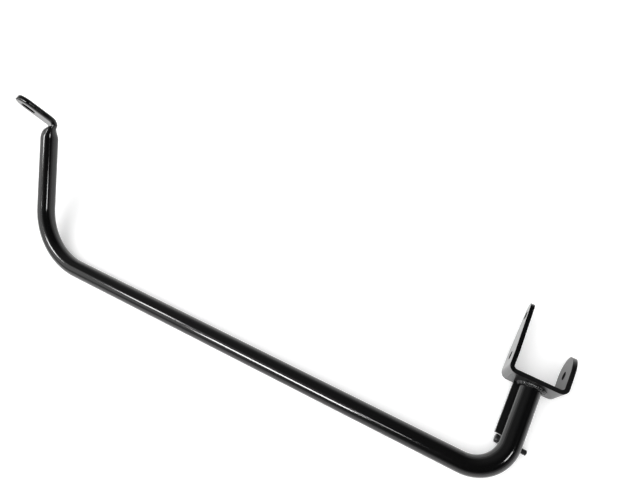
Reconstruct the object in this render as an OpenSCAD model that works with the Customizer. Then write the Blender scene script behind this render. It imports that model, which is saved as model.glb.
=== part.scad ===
// Pannier frame: one side rail for a motorcycle bag.
// A bent steel tube has its front end crushed flat into a slotted eye. Its rear leg
// passes through the web of a folded U bracket and is welded there. A flat strap and
// a headed cross pin are welded under the leg.
// The origin is the centre of the hole in the bracket's round lug. The long run of
// tube lies along X, the leg points along +Y and the bracket stands upright in Z.

/* [Tube] */
// Outside diameter of the tube
tube_d = 19; // [16:0.5:21]
// Wall thickness of the tube
tube_wall = 2; // [1.2:0.1:3]
// Length of the long run, corner to corner
run_len = 539; // [380:1:700]
// Length of the rear leg, from the corner to the web's outer face
leg_len = 88; // [78:1:140]
// Centreline radius of the rear bend
rear_bend_r = 34; // [28:1:44]
// How far the rear bend turns the tube, in degrees
rear_turn = 88.4; // [84:0.1:94]
// Centreline radius of the front bend
front_bend_r = 72; // [40:1:90]
// How far the front bend turns the tube, in degrees
front_turn = 73.2; // [60:0.1:85]
// How far the front arm rises out of the flat, in degrees
front_rise = 26.3; // [15:0.5:40]
// Length of the front arm, from the corner to the fold of the eye
front_len = 147.5; // [125:0.5:220]
// How far the tube's open end stands out inside the bracket
tube_out = 2; // [1:0.5:4]

/* [Eye] */
// Width of the crushed eye
eye_w = 27; // [24:0.5:32]
// Thickness of the crushed eye
eye_t = 6; // [4:0.1:7]
// Length of the eye, from its fold to its tip
eye_len = 50; // [46:0.5:64]
// Length over which the tube is crushed flat
crush_len = 13; // [11:0.5:30]
// Centreline radius of the fold between tube and eye
fold_r = 6; // [5:0.5:9]
// Width of the slot in the eye
slot_w = 10; // [6:0.5:12]
// Overall length of the slot
slot_len = 16; // [13:0.5:20]
// Metal left between the slot and the tip of the eye
slot_edge = 7.5; // [5:0.5:10]

/* [Bracket] */
// Thickness of the bracket's plate
plate_t = 4; // [2:0.25:5]
// Height of the bracket's web
bracket_h = 37.5; // [34:0.5:50]
// Clear width between the bracket's two flanges
inner_w = 44; // [38:0.5:60]
// Inside radius of the bracket's two folds
fold_in_r = 3; // [1.5:0.25:4]
// Reach of the long flange, from the web's outer face
long_reach = 74.5; // [68:0.5:95]
// Where the long flange starts to taper
taper_from = 20; // [14:0.5:28]
// Radius of the long flange's rounded tip
tip_r = 8; // [6.5:0.25:10]
// Distance of the long flange's first hole from the web's outer face
first_hole = 18.5; // [14:0.5:22]
// Distance between the long flange's two holes
hole_pitch = 42.5; // [34:0.5:44]
// Distance of the round lug's hole from the web's outer face
lug_hole = 21.5; // [18:0.5:30]
// Diameter of the three bolt holes
bolt_hole_d = 8.5; // [5.5:0.1:10.5]

/* [Strap and pin] */
// Width of the strap under the leg
strap_w = 24; // [18:0.5:25]
// Thickness of the strap
strap_t = 3; // [2:0.25:4]
// How far the strap sits forward of the leg's middle
strap_shift = 2; // [0:0.25:4]
// How far the cross pin sits past the end of the rear bend
pin_past = 0; // [-3:0.5:3]
// Diameter of the cross pin
pin_d = 5; // [4:0.25:6]
// How far the pin's head stands out in front of the leg's middle
head_out = 12.5; // [10.5:0.5:15]
// How far the pin's plain end stands out behind the leg's middle
pin_out = 16.5; // [12:0.5:18]
// Diameter of the pin's head
head_d = 8; // [7:0.25:9]
// Length of the pin's head
head_len = 4; // [2:0.25:5]

/* [Welds] */
// Leg of the weld round the tube at the web
weld_leg = 4; // [2:0.25:5]
// Length of each short weld along the strap
bead_len = 15; // [8:0.5:18]
// Gap left between pieces that fit together
fit = 0.05; // [0.02:0.01:0.2]

/* [Hidden] */
$fn = 96;
cut = 1;
tube_r = tube_d / 2;
bore_r = tube_r - tube_wall;
half_h = bracket_h / 2;
fold_out_r = fold_in_r + plate_t;
flange_x = inner_w / 2 + plate_t;
tube_end = plate_t + tube_out;
origin_shift = [-(inner_w / 2 + plate_t / 2), -lug_hole, 0];

// A length rounded to a thousandth, so that segments meet exactly
function mil(x) = round(x * 1000) / 1000;
// Where a segment ends inside its neighbour, how deep and how far below its surface
overlap = 0.2;
skin = 0.03;

// The corners of the bent tube, then the front arm and the eye at its end
swing = 90 - rear_turn;
rear_tangent = mil(rear_bend_r * tan(rear_turn / 2));
front_tangent = mil(front_bend_r * tan(front_turn / 2));
rear_corner = [0, -leg_len, 0];
front_corner = rear_corner + run_len * [-cos(swing), -sin(swing), 0];
arm_flat = sin(front_turn) * cos(front_rise);
arm_dir = [
    -cos(front_turn) * cos(swing) - arm_flat * sin(swing),
    arm_flat * cos(swing) - cos(front_turn) * sin(swing),
    sin(front_turn) * sin(front_rise)
];
eye_lean = atan2(arm_dir[0], arm_dir[2]);
fold_turn = asin(arm_dir[1]);
// The tube is crushed towards its outer wall, so the eye lies to that side of its axis
side_shift = tube_r - eye_t / 2;
outward = [-sin(fold_turn) * sin(eye_lean), cos(fold_turn), -sin(fold_turn) * cos(eye_lean)];
eye_corner = front_corner + arm_dir * front_len + outward * side_shift;
fold_tangent = mil(fold_r * tan(fold_turn / 2));
arm_end = front_len - fold_tangent - crush_len;
crush_steps = 6;
lead = 2;
slot_r = slot_w / 2;
slot_far = eye_len - slot_edge - slot_r;
slot_near = slot_far - (slot_len - slot_w);

// The strap and the pin, placed from the leg and the web
strap_top = -tube_r - fit;
strap_low = strap_top - strap_t;
strap_front = -strap_w / 2 - strap_shift;
strap_rear = strap_w / 2 - strap_shift;
pin_y = -leg_len + rear_tangent + pin_past;
pin_z = -tube_r - fit - pin_d / 2;
strap_start = pin_y + pin_d / 2 + fit;
head_gap = 0.5;
head_edge = -head_out + head_len + head_gap;
bead_w = 3.5;

// A cross section of the crushed tube: two flat walls joined by round edges
module crushed_section(inset = 0) {
    square([eye_w - eye_t, eye_t - 2 * inset], center = true);
    for (side = [-1, 1])
        translate([side * (eye_w - eye_t) / 2, 0])
            circle(d = eye_t - 2 * inset);
}

// The height of the tube at a share of the way along the crush, and its width there
function crush_h(share) = eye_t + (tube_d - eye_t) * (1 + cos(180 * share)) / 2;
function girth_w(h) = sqrt(2 * tube_d * tube_d - h * h);
function crush_w(h) = tube_d + (eye_w - tube_d) * (girth_w(h) - tube_d) / (girth_w(eye_t) - tube_d);

// One thin slice of the crush, from round to flat; the first is a short straight length.
// The outer wall of every slice lies in one line
module crush_slice(step) {
    share = step / crush_steps;
    h = crush_h(share);
    along = mil(-fold_tangent - crush_len + (crush_len - lead / 2) * share);
    translate([0, mil((eye_t - h) / 2), along])
        linear_extrude(step == 0 ? 2 * overlap : 0.01)
            if (step == crush_steps)
                crushed_section($fn = 32);
            else if (step == 0)
                circle(d = tube_d + 2 * skin, $fn = 64);
            else
                scale([crush_w(h) / tube_d, h / tube_d])
                    circle(d = tube_d, $fn = 64);
}

// A ring, or a disc where the bore is none
module tube_section(r, bore) {
    difference() {
        circle(r = r);
        if (bore > 0)
            circle(r = bore);
    }
}

// One bend, starting on the X axis; it is a skin smaller than the straight lengths
// and reaches a little way into both of them
module tube_bend(bend_r, turn, r, bore) {
    extra = mil(overlap / bend_r * 180 / PI);
    rotate([0, 0, -extra])
        rotate_extrude(angle = turn + 2 * extra)
            translate([bend_r, 0])
                tube_section(r - skin, bore > 0 ? bore + skin : 0);
}

// The straight and bent tube, from the bracket to the start of the crush
module tube_path(r, bore, $fn = 48) {
    translate([0, -leg_len + rear_tangent, 0])
        rotate([-90, 0, 0])
            linear_extrude(leg_len - rear_tangent + tube_end)
                tube_section(r, bore);
    translate([-rear_bend_r, -leg_len + rear_tangent, 0])
        rotate([0, 0, -rear_turn])
            tube_bend(rear_bend_r, rear_turn, r, bore);
    translate(rear_corner)
        rotate([0, 0, swing]) {
            translate([-run_len + front_tangent, 0, 0])
                rotate([0, 90, 0])
                    linear_extrude(run_len - front_tangent - rear_tangent)
                        tube_section(r, bore);
            translate([-run_len, 0, 0])
                rotate([front_rise, 0, 0]) {
                    translate([front_tangent, front_bend_r, 0])
                        rotate([0, 0, -90 - front_turn])
                            tube_bend(front_bend_r, front_turn, r, bore);
                    rotate([0, 90, 180 - front_turn])
                        translate([0, 0, front_tangent])
                            linear_extrude(arm_end - front_tangent + overlap)
                                tube_section(r, bore);
                }
        }
}

// The crush, the fold and the slotted eye, with the eye's flat facing along Y
module crushed_end() {
    rotate([-fold_turn, 0, 0])
        for (step = [1:crush_steps])
            hull() {
                crush_slice(step - 1);
                crush_slice(step);
            }
    translate([0, -fold_r, fold_tangent])
        rotate([-90, 0, 0])
            rotate([0, -90, 0]) {
                rotate_extrude(angle = fold_turn)
                    translate([fold_r, 0])
                        rotate(90)
                            crushed_section($fn = 32);
                rotate([0, 0, fold_turn])
                    translate([fold_r, -overlap / 2, 0])
                        rotate([-90, 0, 0])
                            linear_extrude(lead + overlap / 2)
                                rotate(90)
                                    crushed_section(skin, $fn = 32);
            }
    difference() {
        union() {
            translate([0, 0, fold_tangent])
                linear_extrude(eye_len - eye_w / 2 - fold_tangent)
                    crushed_section();
            translate([0, 0, eye_len - eye_w / 2])
                rotate([90, 0, 0])
                    intersection() {
                        cylinder(d = eye_w, h = eye_t, center = true);
                        translate([-eye_w / 2, 0, -eye_t / 2])
                            cube([eye_w, eye_w / 2, eye_t]);
                    }
        }
        for (z = [slot_near, slot_far])
            translate([0, 0, z])
                rotate([90, 0, 0])
                    cylinder(r = slot_r, h = eye_t + 2 * cut, center = true);
        translate([-slot_r, -eye_t / 2 - cut, slot_near])
            cube([slot_w, eye_t + 2 * cut, slot_far - slot_near]);
    }
}

module rail() {
    color("#141414") {
        tube_path(tube_r, bore_r);
        translate(eye_corner)
            rotate([0, eye_lean, 0])
                crushed_end();
    }
}

// The long flange seen from the side: full height at the fold, then a taper to a round tip
module long_outline() {
    tip_c = long_reach - tip_r;
    aim_r = tip_r * 0.995;
    reach = norm([tip_c - taper_from, half_h]);
    slope = atan2(half_h, tip_c - taper_from) - asin(aim_r / reach);
    run = sqrt(reach * reach - aim_r * aim_r);
    touch = [mil(taper_from + run * cos(slope)), mil(half_h - run * sin(slope))];
    polygon([
        [fold_out_r, -half_h], [taper_from, -half_h], [touch[0], -touch[1]],
        [touch[0], touch[1]], [taper_from, half_h], [fold_out_r, half_h]
    ]);
    translate([tip_c, 0])
        circle(r = tip_r);
}

// The round lug seen from the side, with its nose round the hole
module lug_outline() {
    translate([fold_out_r, -half_h])
        square([lug_hole - fold_out_r, bracket_h]);
    translate([lug_hole, 0])
        intersection() {
            circle(r = half_h);
            translate([0, -half_h])
                square([half_h, bracket_h]);
        }
}

// A quarter ring, the fold between the web and one flange
module fold_outline(side) {
    intersection() {
        difference() {
            circle(r = fold_out_r);
            circle(r = fold_in_r);
        }
        translate([side < 0 ? -fold_out_r : 0, -fold_out_r])
            square(fold_out_r);
    }
}

module bolt_hole(y) {
    translate([0, y, 0])
        rotate([0, 90, 0])
            cylinder(d = bolt_hole_d, h = plate_t + 2 * cut, center = true);
}

module bracket() {
    color("#181818")
        difference() {
            union() {
                translate([-inner_w / 2 + fold_in_r, 0, -half_h])
                    cube([inner_w - 2 * fold_in_r, plate_t, bracket_h]);
                for (side = [-1, 1])
                    translate([side * (inner_w / 2 - fold_in_r), fold_out_r, -half_h])
                        linear_extrude(bracket_h)
                            fold_outline(side);
                translate([-flange_x, 0, 0])
                    rotate([90, 0, 90])
                        linear_extrude(plate_t)
                            long_outline();
                translate([flange_x - plate_t, 0, 0])
                    rotate([90, 0, 90])
                        linear_extrude(plate_t)
                            lug_outline();
            }
            translate([-flange_x + plate_t / 2, 0, 0]) {
                bolt_hole(first_hole);
                bolt_hole(first_hole + hole_pitch);
            }
            translate([flange_x - plate_t / 2, 0, 0])
                bolt_hole(lug_hole);
            translate([0, -cut, 0])
                rotate([-90, 0, 0])
                    cylinder(r = tube_r + fit, h = plate_t + 2 * cut);
            translate([strap_front - fit, -cut, strap_low - fit])
                cube([strap_w + 2 * fit, plate_t + 2 * cut, strap_t + cut]);
        }
}

// The fillet weld round the tube, open below where the strap passes
module web_weld() {
    color("#202020")
        difference() {
            rotate([90, 0, 0])
                rotate_extrude()
                    polygon([
                        [tube_r + fit, fit], [tube_r + fit + weld_leg, fit],
                        [tube_r + fit + weld_leg * 0.74, weld_leg * 0.52],
                        [tube_r + fit + weld_leg * 0.42, weld_leg * 0.86],
                        [tube_r + fit, weld_leg + fit]
                    ]);
            translate([strap_front - fit, -weld_leg - cut, strap_low - weld_leg - cut])
                cube([strap_w + 2 * fit, weld_leg + 2 * cut, strap_t + weld_leg + 2 * cut]);
        }
}

module strap() {
    color("#1a1a1a")
        translate([0, 0, strap_low])
            linear_extrude(strap_t)
                polygon([
                    [strap_rear - 2, strap_start], [strap_rear, strap_start + 2],
                    [strap_rear, tube_end], [strap_front, tube_end],
                    [strap_front, pin_y + head_d / 2 + head_gap],
                    [head_edge, pin_y + head_d / 2 + head_gap], [head_edge, strap_start]
                ]);
}

// Four short fillets in the grooves between the strap and the tube
module strap_welds() {
    first_bead = pin_y + head_d;
    last_bead = -weld_leg - bead_len - 2;
    color("#202020")
        for (side = [-1, 1], y = [first_bead, last_bead]) {
            edge = side < 0 ? tube_r - 1.2 : min(tube_r - 1.2, strap_rear);
            difference() {
                translate([0, y + bead_len, strap_top + fit])
                    rotate([90, 0, 0])
                        linear_extrude(bead_len)
                            polygon([
                                [side * bead_w, 0], [side * edge, 0],
                                [side * (edge + 0.1), 2.2], [side * (edge - 0.5), 4],
                                [side * bead_w, 4]
                            ]);
                translate([0, y - cut, 0])
                    rotate([-90, 0, 0])
                        cylinder(r = tube_r + fit, h = bead_len + 2 * cut);
            }
        }
}

// A round bar with a domed head, lying across the leg
module cross_pin() {
    head_r = head_d / 2;
    round_r = head_len * 0.45;
    chamfer = 0.6;
    color("#4a4a4a")
        translate([-head_out, pin_y, pin_z])
            rotate([0, 90, 0]) {
                rotate_extrude($fn = 40) {
                    square([head_r - round_r, head_len]);
                    translate([0, round_r])
                        square([head_r, head_len - round_r]);
                    intersection() {
                        translate([head_r - round_r, round_r])
                            circle(r = round_r);
                        square([head_r, head_len]);
                    }
                }
                cylinder(d = pin_d, h = head_out + pin_out - chamfer);
                translate([0, 0, head_out + pin_out - chamfer])
                    cylinder(d1 = pin_d, d2 = pin_d - 2 * chamfer, h = chamfer);
            }
}

// The weld that holds the pin to the underside of the tube
module pin_weld() {
    bead_half = 4;
    color("#202020")
        difference() {
            translate([-bead_half, 0, 0])
                rotate([90, 0, 90])
                    linear_extrude(2 * bead_half)
                        polygon([
                            [pin_y, strap_top + 1], [pin_y - pin_d * 0.95, strap_top + 1],
                            [pin_y - pin_d * 0.8, strap_top - pin_d * 0.2],
                            [pin_y - pin_d * 0.5, pin_z - fit], [pin_y, pin_z - fit]
                        ]);
            translate([-head_out, pin_y, pin_z])
                rotate([0, 90, 0])
                    cylinder(d = pin_d + 2 * fit, h = head_out + pin_out);
            tube_path(tube_r + fit, 0);
        }
}

translate(origin_shift) rail();
translate(origin_shift) bracket();
translate(origin_shift) web_weld();
translate(origin_shift) strap();
translate(origin_shift) strap_welds();
translate(origin_shift) cross_pin();
translate(origin_shift) pin_weld();
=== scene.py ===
import bmesh
import bpy
import math
from mathutils import Matrix, Vector
from types import SimpleNamespace


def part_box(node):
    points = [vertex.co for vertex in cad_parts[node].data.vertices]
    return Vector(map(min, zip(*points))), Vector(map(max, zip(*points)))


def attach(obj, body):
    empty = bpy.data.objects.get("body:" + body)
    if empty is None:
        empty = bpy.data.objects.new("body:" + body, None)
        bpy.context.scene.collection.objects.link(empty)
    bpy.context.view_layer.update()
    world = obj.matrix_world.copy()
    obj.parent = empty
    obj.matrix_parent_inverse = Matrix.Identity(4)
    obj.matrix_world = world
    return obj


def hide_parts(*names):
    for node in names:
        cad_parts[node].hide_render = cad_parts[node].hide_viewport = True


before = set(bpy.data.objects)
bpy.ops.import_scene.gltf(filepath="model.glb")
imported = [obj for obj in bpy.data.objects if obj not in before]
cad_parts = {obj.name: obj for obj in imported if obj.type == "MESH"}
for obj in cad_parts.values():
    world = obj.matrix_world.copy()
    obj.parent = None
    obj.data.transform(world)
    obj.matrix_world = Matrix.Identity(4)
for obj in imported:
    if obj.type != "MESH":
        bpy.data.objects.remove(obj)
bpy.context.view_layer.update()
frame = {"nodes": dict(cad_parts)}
nodes = frame["nodes"]
scene = bpy.context.scene
print("frame loaded:", ", ".join(sorted(nodes)))


# A socket that can be written in sums, such as 1 - mask * 0.5
class Wire:
    def __init__(self, tree, socket):
        self.tree = tree
        self.socket = socket

    def sum(self, operation, first, second):
        node = self.tree.nodes.new("ShaderNodeMath")
        node.operation = operation
        for slot, value in zip(node.inputs, (first, second)):
            if isinstance(value, Wire):
                self.tree.links.new(value.socket, slot)
            else:
                slot.default_value = value
        return Wire(self.tree, node.outputs[0])

    def __add__(self, other):
        return self.sum("ADD", self, other)

    def __radd__(self, other):
        return self.sum("ADD", other, self)

    def __sub__(self, other):
        return self.sum("SUBTRACT", self, other)

    def __rsub__(self, other):
        return self.sum("SUBTRACT", other, self)

    def __mul__(self, other):
        return self.sum("MULTIPLY", self, other)

    def __truediv__(self, other):
        return self.sum("DIVIDE", self, other)

    def __gt__(self, other):
        return self.sum("GREATER_THAN", self, other)


# A node tree with one way to add a node: its type, its settings, then its sockets
class Bench:
    def __init__(self, tree):
        self.tree = tree
        tree.nodes.clear()

    def node(self, kind, settings=None, inputs=None, out=0):
        node = self.tree.nodes.new(kind)
        for name, value in (settings or {}).items():
            if name == "stops":
                ramp = node.color_ramp
                while len(ramp.elements) < len(value):
                    ramp.elements.new(0.5)
                for element, (place, shade) in zip(ramp.elements, value):
                    element.position = place
                    element.color = (shade, shade, shade, 1)
            else:
                setattr(node, name, value)
        for name, value in (inputs or {}).items():
            slot = node.inputs[name]
            if isinstance(value, Wire):
                self.tree.links.new(value.socket, slot)
            else:
                slot.default_value = value
        if out is None or not node.outputs:
            return node
        return Wire(self.tree, node.outputs[out])

    def outputs(self, kind, *names):
        node = self.node(kind, out=None)
        return [Wire(self.tree, node.outputs[name]) for name in names]


def newMaterial(name):
    material = bpy.data.materials.new(name)
    material.use_nodes = True
    return material, Bench(material.node_tree)


def addObject(name, data):
    thing = bpy.data.objects.new(name, data)
    scene.collection.objects.link(thing)
    return thing


# The paint: gloss black over steel, with a faint orange peel and a little dust.
# Each noise has a scale, a detail and a roughness.
def glossPaint(name, look):
    material, bench = newMaterial(name)
    place = bench.node("ShaderNodeTexCoord", out=3)

    def noise(scale, detail, roughness):
        return bench.node("ShaderNodeTexNoise", None, {
            "Vector": place, "Scale": scale, "Detail": detail, "Roughness": roughness})

    broad, peel, speck = (noise(*look[kind]) for kind in ("patches", "orangePeel", "specks"))
    dust = bench.node("ShaderNodeValToRGB", {"stops": look["dustStops"]}, {"Fac": speck})
    mix = broad * look["patchShare"] + dust * look["dust"]
    colour = bench.node("ShaderNodeMix", {"data_type": "RGBA"},
                        {6: (*look["deep"], 1), 7: (*look["pale"], 1), 0: mix}, out=2)
    alongX = bench.node("ShaderNodeSeparateXYZ", None, {"Vector": place})
    rough = broad * look["roughSpread"] + dust * look["dustRough"] + look["rough"]
    rough = rough + (alongX > look["dullFrom"]) * look["duller"]
    height = peel + broad * look["patchHeight"] + speck * look["grit"]
    bump = bench.node("ShaderNodeBump", None, {
        "Strength": look["peel"], "Distance": look["peelDepth"], "Height": height})
    paint = bench.node("ShaderNodeBsdfPrincipled", None, {
        "Base Color": colour, "Roughness": rough, "Normal": bump, "IOR": look["ior"]})
    bench.node("ShaderNodeOutputMaterial", None, {"Surface": paint})
    return material


tubePaint = {
    "deep": (0.0014, 0.0014, 0.0015), "pale": (0.0035, 0.0035, 0.0037),
    "patches": (14.0, 3.0, 0.55), "orangePeel": (420.0, 2.0, 0.5), "specks": (900.0, 4.0, 0.7),
    "patchShare": 0.6, "patchHeight": 0.4,
    "dustStops": [(0.62, 0.0), (0.78, 1.0)], "dust": 0.25, "dustRough": 0.10,
    "rough": 0.075, "roughSpread": 0.06,
    "peel": 0.05, "peelDepth": 0.0004, "grit": 0.1,
    "ior": 1.5, "dullFrom": 0.0, "duller": 0.0,
}
# The long flange is glossier than the web and the lug
platePaint = dict(tubePaint, rough=0.07, roughSpread=0.08, orangePeel=(520.0, 2.0, 0.5),
                  peel=0.06, dullFrom=-0.045, duller=0.20)
weldPaint = dict(tubePaint, rough=0.13, orangePeel=(700.0, 2.0, 0.5), peel=0.20, grit=0.5)
pinPaint = dict(tubePaint, deep=(0.010, 0.010, 0.011), pale=(0.035, 0.035, 0.036),
                rough=0.20, peel=0.10)

tubeBlack = glossPaint("tubeBlack", tubePaint)
plateBlack = glossPaint("plateBlack", platePaint)
weldBlack = glossPaint("weldBlack", weldPaint)
pinBlack = glossPaint("pinBlack", pinPaint)
print("paints mixed")


def paintNode(name, material):
    data = nodes[name].data
    if not data.materials:
        data.materials.append(material)
    for slot in nodes[name].material_slots:
        slot.material = material


paintNode("bracket", plateBlack)
paintNode("strap", plateBlack)
paintNode("cross_pin", pinBlack)
print("steel painted")


# Pieces are laid out in millimetres from the leg's axis, where it meets the web's outer face.
# The weld at the web starts one fit short of that face.
fit = 0.00005
ringLow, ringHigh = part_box("web_weld")
legFoot = Vector(((ringLow[0] + ringHigh[0]) / 2, ringHigh[1] + fit, 0))


def fromFoot(x, y, z):
    return legFoot + Vector((x, y, z)) / 1000


# The bent tube in one skin, from its open end in the bracket to the tip of the slotted eye.
# Sizes in millimetres, turns in degrees; the Steps and sides say how finely it is cut up.
bentTube = {
    "wide": 18.9, "bore": 15.0, "boreDeep": 55.0, "openEnd": 6.0, "lip": 0.3, "lipDeep": 0.6,
    "leg": 88.0, "run": 539.0, "swing": 1.6, "rearBend": 34.0, "frontBend": 72.0,
    "frontTurn": 73.2, "frontRise": 26.3, "arm": 152.5, "aside": 3.0,
    "crush": 15.0, "fold": 8.5, "spread": 30.0, "edgeFrom": 0.75,
    "eyeWide": 27.0, "eyeThick": 6.5, "eyeLong": 43.9, "tipTurn": 88.0,
    "slotWide": 10.0, "slotLong": 16.0, "slotEdge": 7.5, "slotTurn": 9,
    "sides": 64, "straightSteps": 12, "bendSteps": 40, "crushSteps": 18, "foldSteps": 12,
    "eyeSteps": 8, "tipSteps": 16, "sharpTurn": 50.0,
}


def ease(share):
    share = min(max(share, 0.0), 1.0)
    return share * share * (3 - 2 * share)


# Centres and directions along a chain of corners that are rounded to the given radii
def bendPath(look, corners, radii):
    stations, place = [], corners[0]
    straightSteps, bendSteps = look["straightSteps"], look["bendSteps"]
    for before, corner, after, radius in zip(corners, corners[1:], corners[2:], radii):
        arrive, leave = (corner - before).normalized(), (after - corner).normalized()
        turn = arrive.angle(leave)
        reach = radius * math.tan(turn / 2)
        start = corner - arrive * reach
        stations += [(place.lerp(start, i / straightSteps), arrive) for i in range(straightSteps)]
        inward = (leave - arrive * arrive.dot(leave)).normalized()
        for i in range(bendSteps):
            angle = turn * i / bendSteps
            along, aside = radius * math.sin(angle), radius * (1 - math.cos(angle))
            stations.append((start + arrive * along + inward * aside,
                             arrive * math.cos(angle) + inward * math.sin(angle)))
        place = corner + leave * reach
    way, last = (corners[-1] - corners[-2]).normalized(), corners[-1]
    return stations + [(place.lerp(last, i / straightSteps), way) for i in range(straightSteps)]


# One section, from a round tube (flat 0) to two flat walls with round edges (flat 1)
def sectionRing(look, centre, across, out, wide, thick, flat=0):
    ring, edgeFrom = [], look["edgeFrom"]
    for i in range(look["sides"]):
        angle = 2 * math.pi * i / look["sides"]
        side, rise = math.cos(angle), math.sin(angle)
        slide = max(-1.0, min(1.0, side / edgeFrom))
        lean = math.copysign(math.pi / 2, rise)
        if side > edgeFrom:
            lean = math.asin(rise) * (math.pi / 2) / math.acos(edgeFrom)
        elif side < -edgeFrom:
            lean = math.pi - math.asin(rise) * (math.pi / 2) / math.acos(edgeFrom)
        edge = min(wide, thick) / 2
        flatX = slide * (wide / 2 - edge) + edge * math.cos(lean)
        flatY = thick / 2 * math.sin(lean)
        x = (1 - flat) * wide / 2 * side + flat * flatX
        y = (1 - flat) * thick / 2 * rise + flat * flatY
        ring.append(centre + across * x + out * y)
    return ring


# The directions and corners of the tube: the arm climbs from the run, and the flat of the
# eye faces plateOut
def railLines(look):
    swing, turn, rise = (math.radians(look[k]) for k in ("swing", "frontTurn", "frontRise"))
    level = math.sin(turn) * math.cos(rise)
    arm = Vector((-math.cos(turn) * math.cos(swing) - level * math.sin(swing),
                  level * math.cos(swing) - math.cos(turn) * math.sin(swing),
                  math.sin(turn) * math.sin(rise)))
    rearCorner = Vector((0, -look["leg"], 0))
    frontCorner = rearCorner - Vector((math.cos(swing), math.sin(swing), 0)) * look["run"]
    plateOut = Vector((0, 1, 0))
    eyeWay = (arm - plateOut * arm.y).normalized()
    foldAngle = arm.angle(eyeWay)
    armOut = plateOut * math.cos(foldAngle) - eyeWay * math.sin(foldAngle)
    axisEnd = frontCorner + arm * look["arm"]
    return SimpleNamespace(
        arm=arm, armOut=armOut, across=plateOut.cross(eyeWay), eyeWay=eyeWay, plateOut=plateOut,
        foldAngle=foldAngle, rearCorner=rearCorner, frontCorner=frontCorner, axisEnd=axisEnd,
        corner=axisEnd + armOut * look["aside"])


def railRings(look):
    lines = railLines(look)
    arm, armOut, across, eyeWay = lines.arm, lines.armOut, lines.across, lines.eyeWay
    tube, thin, wide = look["wide"], look["eyeThick"], look["eyeWide"]
    radius, aside, foldAngle = tube / 2, look["aside"], lines.foldAngle
    foldReach = look["fold"] * math.tan(foldAngle / 2)
    crushStart = lines.axisEnd - arm * (foldReach + look["crush"])
    mouthPlace = Vector((0, look["openEnd"], 0))
    stations = bendPath(look, [mouthPlace, lines.rearCorner, lines.frontCorner, crushStart],
                        [look["rearBend"], look["frontBend"]])
    # the frame turns with the tube, counted back from the crush so that it arrives square
    frames, square = [], across
    for centre, way in reversed(stations):
        square = (square - way * way.dot(square)).normalized()
        frames.append((centre, square, way.cross(square)))
    frames.reverse()

    rings, inward = [], Vector((0, -1, 0))

    def addRound(centre, frame, size):
        rings.append(sectionRing(look, centre, frame[1], frame[2], size, size))

    mouth, lip = frames[0], look["lip"]
    for deep in (look["boreDeep"], look["boreDeep"] / 2, look["lipDeep"]):
        addRound(mouth[0] + inward * deep, mouth, look["bore"])
    addRound(mouth[0], mouth, look["bore"] + 2 * lip)
    addRound(mouth[0], mouth, tube - 2 * lip)
    addRound(mouth[0] + inward * lip, mouth, tube)
    for frame in frames[1:]:
        addRound(frame[0], frame, tube)

    def widthAt(reached):
        return tube + (wide - tube) * ease(reached / look["spread"])

    for step in range(look["crushSteps"] + 1):
        share = math.sin(math.pi / 2 * step / look["crushSteps"])
        outer = radius + (aside + thin / 2 - radius) * ease(share)
        sunk = 1 - math.sqrt(max(1 - share ** 2, 0))
        inner = -radius + (aside - thin / 2 + radius) * sunk
        thick = outer - inner
        centre = crushStart + arm * look["crush"] * share + armOut * (outer + inner) / 2
        rings.append(sectionRing(look, centre, across, armOut, widthAt(look["crush"] * share),
                                 thick, ease((tube - thick) / (tube - thin))))
    turnIn = (eyeWay - arm * arm.dot(eyeWay)).normalized()
    start = lines.corner - arm * foldReach
    for step in range(1, look["foldSteps"] + 1):
        angle = foldAngle * step / look["foldSteps"]
        centre = start + (arm * math.sin(angle) + turnIn * (1 - math.cos(angle))) * look["fold"]
        out = armOut * math.cos(angle) + arm * math.sin(angle)
        rings.append(sectionRing(look, centre, across, out,
                                 widthAt(look["crush"] + look["fold"] * angle), thin, 1))

    def addEye(along, size):
        rings.append(sectionRing(look, lines.corner + eyeWay * along, across, lines.plateOut,
                                 size, thin, 1))

    straight = look["eyeLong"] - wide / 2
    folded = look["crush"] + look["fold"] * foldAngle
    for step in range(1, look["eyeSteps"] + 1):
        along = foldReach + (straight - foldReach) * step / look["eyeSteps"]
        addEye(along, widthAt(folded + along - foldReach))
    for step in range(1, look["tipSteps"] + 1):
        angle = math.radians(look["tipTurn"]) * step / look["tipSteps"]
        addEye(straight + wide / 2 * math.sin(angle), wide * math.cos(angle))
    return rings


def meshFromRings(name, rings):
    points = [tuple(fromFoot(*spot)) for ring in rings for spot in ring]
    sides = len(rings[0])
    faces = [list(range(sides - 1, -1, -1)), [len(points) - sides + i for i in range(sides)]]
    for low in range(0, len(points) - sides, sides):
        for i in range(sides):
            j = (i + 1) % sides
            faces.append([low + i, low + j, low + sides + j, low + sides + i])
    mesh = bpy.data.meshes.new(name)
    mesh.from_pydata(points, [], faces)
    shell = bmesh.new()
    shell.from_mesh(mesh)
    bmesh.ops.recalc_face_normals(shell, faces=shell.faces)
    shell.to_mesh(mesh)
    shell.free()
    return mesh


# The slot's outline as a closed prism through the eye: two half circles, far end first
def slotCutter(look):
    lines, radius = railLines(look), look["slotWide"] / 2
    far = look["eyeLong"] - look["slotEdge"] - radius
    near = far - look["slotLong"] + look["slotWide"]
    outline = []
    for end, first in ((far, 0), (near, 180)):
        for turn in range(first, first + 181, look["slotTurn"]):
            angle = math.radians(turn)
            outline.append(lines.across * radius * math.cos(angle)
                           + lines.eyeWay * (end + radius * math.sin(angle)))
    rings = [[lines.corner + spot + lines.plateOut * depth for spot in outline]
             for depth in (-look["eyeThick"], look["eyeThick"])]
    return meshFromRings("slot", rings)


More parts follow.
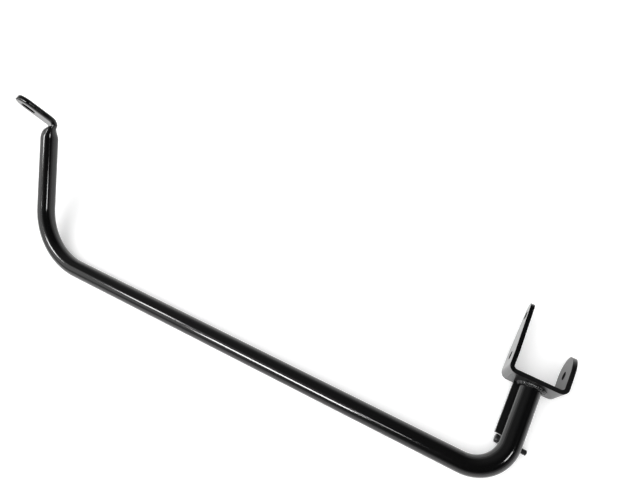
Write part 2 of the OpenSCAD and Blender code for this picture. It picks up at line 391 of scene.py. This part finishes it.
def buildRail(look):
    tube = addObject("tubeShell", meshFromRings("tubeShell", railRings(look)))
    cutter = addObject("slot", slotCutter(look))
    cut = tube.modifiers.new("slot", "BOOLEAN")
    cut.operation, cut.solver, cut.object = "DIFFERENCE", "EXACT", cutter
    view = bpy.context.evaluated_depsgraph_get()
    shape = bpy.data.meshes.new_from_object(tube.evaluated_get(view))
    for piece in (tube, cutter):
        bpy.data.objects.remove(piece)
    shape.polygons.foreach_set("use_smooth", [True] * len(shape.polygons))
    shape.set_sharp_from_angle(angle=math.radians(look["sharpTurn"]))
    shape.materials.clear()
    shape.materials.append(tubeBlack)
    rail = addObject("bentTube", shape)
    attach(rail, "root")
    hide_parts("rail")
    print("tube bent:", len(shape.polygons), "faces")


buildRail(bentTube)


# A weld bead swept along a line, with the ripples that the torch leaves; pitch in metres
weldBead = {"Ripple Pitch": 0.0019, "Ripple Depth": 0.20, "Unevenness": 0.16, "Seed": 7}
beadKinds = {
    "Line": "NodeSocketGeometry", "Bead Radius": "NodeSocketFloat",
    "Ripple Pitch": "NodeSocketFloat", "Ripple Depth": "NodeSocketFloat",
    "Unevenness": "NodeSocketFloat", "Seed": "NodeSocketInt", "Paint": "NodeSocketMaterial",
}
beadMesh = {"cutsPerRipple": 7.0, "sides": 14, "endWidth": 0.0002}


def growBeadTree(look):
    tree = bpy.data.node_groups.new("weldBead", "GeometryNodeTree")
    for name, kind in beadKinds.items():
        tree.interface.new_socket(name=name, in_out="INPUT", socket_type=kind)
    tree.interface.new_socket(name="Bead", in_out="OUTPUT", socket_type="NodeSocketGeometry")
    bench = Bench(tree)
    taken = dict(zip(beadKinds, bench.outputs("NodeGroupInput", *beadKinds)))
    pitch, radius = taken["Ripple Pitch"], taken["Bead Radius"]
    line = bench.node("GeometryNodeMeshToCurve", None, {"Mesh": taken["Line"]})
    fine = bench.node("GeometryNodeResampleCurve", {"mode": "LENGTH"}, {
        "Curve": line, "Length": pitch / look["cutsPerRipple"]})
    along = bench.node("GeometryNodeSplineParameter", out=1)
    whole = bench.node("GeometryNodeSplineLength")
    ripple = along / pitch
    share = ripple.sum("FRACT", ripple, 0.0)
    number = ripple.sum("FLOOR", ripple, 0.0)
    chance = bench.node("FunctionNodeRandomValue", {"data_type": "FLOAT"},
                        {2: 0.0, 3: 1.0, 7: number, 8: taken["Seed"]}, out=1)
    # both ends of the bead are rounded over one radius
    edge = along.sum("MINIMUM", along, whole - along) / radius
    reach = 1 - edge.sum("MINIMUM", edge, 1.0)
    domed = edge.sum("SQRT", 1 + look["endWidth"] - reach * reach, 0.0)
    rippled = 1 - taken["Ripple Depth"] * share * share
    uneven = 1 + taken["Unevenness"] * (chance - 0.5)
    ring = bench.node("GeometryNodeCurvePrimitiveCircle", {"mode": "RADIUS"}, {
        "Resolution": look["sides"], "Radius": radius})
    bead = bench.node("GeometryNodeCurveToMesh", None, {
        "Curve": fine, "Profile Curve": ring, "Scale": rippled * uneven * domed,
        "Fill Caps": True})
    smooth = bench.node("GeometryNodeSetShadeSmooth", None, {"Geometry": bead})
    real = bench.node("GeometryNodeRealizeInstances", None, {"Geometry": smooth})
    painted = bench.node("GeometryNodeSetMaterial", None, {
        "Geometry": real, "Material": taken["Paint"]})
    bench.node("NodeGroupOutput", None, {"Bead": painted})
    return tree


beadTree = growBeadTree(beadMesh)


def layBeads(name, node, radius, lines):
    points, edges = [], []
    for line in lines:
        first = len(points)
        points += [tuple(fromFoot(*spot)) for spot in line]
        edges += [(first + i, first + i + 1) for i in range(len(line) - 1)]
    mesh = bpy.data.meshes.new(name + "Line")
    mesh.from_pydata(points, edges, [])
    guide = addObject(name + "Line", mesh)
    modifier = guide.modifiers.new("bead", "NODES")
    modifier.node_group = beadTree
    values = dict(weldBead, **{"Bead Radius": radius / 1000, "Paint": weldBlack})
    for item in beadTree.interface.items_tree:
        if item.in_out == "INPUT" and item.name in values:
            modifier[item.identifier] = values[item.name]
    view = bpy.context.evaluated_depsgraph_get()
    solid = bpy.data.meshes.new_from_object(guide.evaluated_get(view))
    bpy.data.objects.remove(guide)
    bead = addObject(name, solid)
    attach(bead, "root")
    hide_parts(node)
    print("bead laid:", name, len(solid.polygons), "faces")


# Where the beads lie, in millimetres from the leg's foot, and their turns in degrees
webRing = {"radius": 3.1, "away": 10.1, "off": -0.4, "first": -30, "last": 206, "step": 4}
strapBeads = {"radius": 2.2, "side": 6.3, "height": -8.9, "runs": ((-46.4, -32.4), (-20.5, -6.5))}
pinBead = {"radius": 1.7, "half": 3.8, "y": -57.9, "z": -10.4}


def webRingLine(look):
    angles = [math.radians(turn) for turn in range(look["first"], look["last"] + 1, look["step"])]
    return [(look["away"] * math.cos(angle), look["off"], look["away"] * math.sin(angle))
            for angle in angles]


layBeads("webBead", "web_weld", webRing["radius"], [webRingLine(webRing)])
layBeads("strapBead", "strap_welds", strapBeads["radius"],
         [[(side * strapBeads["side"], y, strapBeads["height"]) for y in run]
          for side in (-1, 1) for run in strapBeads["runs"]])
layBeads("pinBead", "pin_weld", pinBead["radius"],
         [[(x, pinBead["y"], pinBead["z"]) for x in (-pinBead["half"], pinBead["half"])]])


# The floor lies just under the three places that the rail rests on
floorPlan = {
    "normal": (0.00882, 0.0505, 0.99868), "offset": -0.020296, "half": 6.0,
    "colour": (0.86, 0.86, 0.86), "lift": 0.29,
}


def makeFloor(plan):
    up = Vector(plan["normal"]).normalized()
    middle = up * plan["offset"]
    along = (Vector((1, 0, 0)) - up * up.x).normalized()
    across = up.cross(along)
    corners = [middle + (along * a + across * b) * plan["half"]
               for a, b in ((-1, -1), (1, -1), (1, 1), (-1, 1))]
    mesh = bpy.data.meshes.new("floor")
    mesh.from_pydata([tuple(c) for c in corners], [], [(0, 1, 2, 3)])
    material, bench = newMaterial("floorWhite")
    diffuse = bench.node("ShaderNodeBsdfDiffuse", None, {"Color": (*plan["colour"], 1)})
    seen, mirrored, through = bench.outputs(
        "ShaderNodeLightPath", "Is Camera Ray", "Is Glossy Ray", "Is Transmission Ray")
    glow = bench.node("ShaderNodeEmission", None, {
        "Color": (1, 1, 1, 1), "Strength": (seen + mirrored + through) * plan["lift"]})
    both = bench.node("ShaderNodeAddShader", None, {0: diffuse, 1: glow})
    bench.node("ShaderNodeOutputMaterial", None, {"Surface": both})
    mesh.materials.append(material)
    addObject("floor", mesh)


makeFloor(floorPlan)


# White to the camera; for what the paint mirrors, a pale horizon, a dark ceiling that is a
# little paler over the slotted eye, and a pale wall beyond the outer side of the rail,
# which ends above the horizon and fades towards the bracket
roomLight = {
    "horizon": 0.75, "ceiling": 0.035, "leftCeiling": 0.20, "wall": 2.3, "fill": 0.47,
    "horizonStops": [(0.0, 1.0), (0.10, 1.0), (0.42, 0.0), (1.0, 0.0)],
    "leftFrom": 0.15, "leftStops": [(0.0, 0.0), (0.55, 1.0)],
    "wallScale": 0.25, "wallStops": [(0.015, 0.0), (0.06, 1.0), (0.45, 1.0), (0.58, 0.0)],
}


def makeRoom(look):
    world = bpy.data.worlds.new("room")
    world.use_nodes = True
    scene.world = world
    bench = Bench(world.node_tree)

    def ramp(stops, value):
        return bench.node("ShaderNodeValToRGB", {"stops": stops}, {"Fac": value})

    place = bench.node("ShaderNodeTexCoord", out=0)
    split = bench.node("ShaderNodeSeparateXYZ", None, {"Vector": place}, out=None)
    side, depth, height = (Wire(world.node_tree, split.outputs[axis]) for axis in "XYZ")
    horizon = ramp(look["horizonStops"], height)
    left = ramp(look["leftStops"], look["leftFrom"] - side)
    wall = ramp(look["wallStops"], (0.0 - depth) / height * look["wallScale"])
    fade = side.sum("MAXIMUM", 0.0 - side, 0.0)
    ceiling = look["ceiling"] + left * (look["leftCeiling"] - look["ceiling"])
    ceiling = ceiling + wall * fade * look["wall"]
    band = ceiling + horizon * (look["horizon"] - ceiling)
    seen, mirrored = bench.outputs("ShaderNodeLightPath", "Is Camera Ray", "Is Glossy Ray")
    indoors = mirrored * band + (1 - mirrored) * look["fill"]
    back = bench.node("ShaderNodeBackground", None, {
        "Color": (1, 1, 1, 1), "Strength": seen + (1 - seen) * indoors})
    bench.node("ShaderNodeOutputWorld", None, {"Surface": back})


makeRoom(roomLight)


# Lamps stand on a ring round the rail: azimuth and height in degrees, sizes in metres.
# The one that lights the scene isn't mirrored in the paint; the others are only mirrored.
lamps = {
    "softKey": {"azimuth": -115, "height": 70, "size": (2.8, 2.8), "watts": 60, "lights": True},
    "longStrip": {"azimuth": -109, "height": 48.5, "size": (0.95, 0.42), "watts": 38},
    "leftLamp": {"azimuth": -149, "height": 51, "size": (0.30, 0.36), "watts": 8},
    "rightLamp": {"azimuth": -4, "height": 46, "size": (0.34, 0.34), "watts": 6},
    "endLamp": {"azimuth": -85, "height": 61, "size": (0.30, 0.16), "watts": 2.5},
}
lampRing = {"middle": Vector((-0.29, -0.09, 0.01)), "away": 2.2}


def addLamp(name, look, ring):
    turn, rise = math.radians(look["azimuth"]), math.radians(look["height"])
    level = math.cos(rise)
    way = Vector((math.cos(turn) * level, math.sin(turn) * level, math.sin(rise)))
    data = bpy.data.lights.new(name, "AREA")
    data.shape = "RECTANGLE"
    data.size, data.size_y = look["size"]
    data.energy = look["watts"]
    lamp = addObject(name, data)
    lamp.location = ring["middle"] + way * ring["away"]
    lamp.rotation_euler = way.to_track_quat("Z", "Y").to_euler()
    lamp.visible_diffuse = look.get("lights", False)
    lamp.visible_glossy = not lamp.visible_diffuse


for lampName, lampLook in lamps.items():
    addLamp(lampName, lampLook, lampRing)
print("room lit")


# The camera, worked out from the photograph in the part's own frame
viewpoint = {
    "place": (-0.112638, -0.137317, 0.486635), "lens": 28.0, "sensor": 36.0, "nearest": 0.01,
    "ahead": (-0.30206, 0.29963, -0.90498), "right": (0.87385, 0.46643, -0.13724),
}


def addCamera(look):
    data = bpy.data.cameras.new("camera")
    data.sensor_width, data.lens, data.clip_start = look["sensor"], look["lens"], look["nearest"]
    back = -Vector(look["ahead"]).normalized()
    right = Vector(look["right"])
    right = (right - back * right.dot(back)).normalized()
    turn = Matrix((right, back.cross(right), back)).transposed().to_4x4()
    camera = addObject("camera", data)
    camera.matrix_world = Matrix.Translation(look["place"]) @ turn
    scene.camera = camera


addCamera(viewpoint)
scene.view_settings.view_transform = "Standard"
print("camera set")
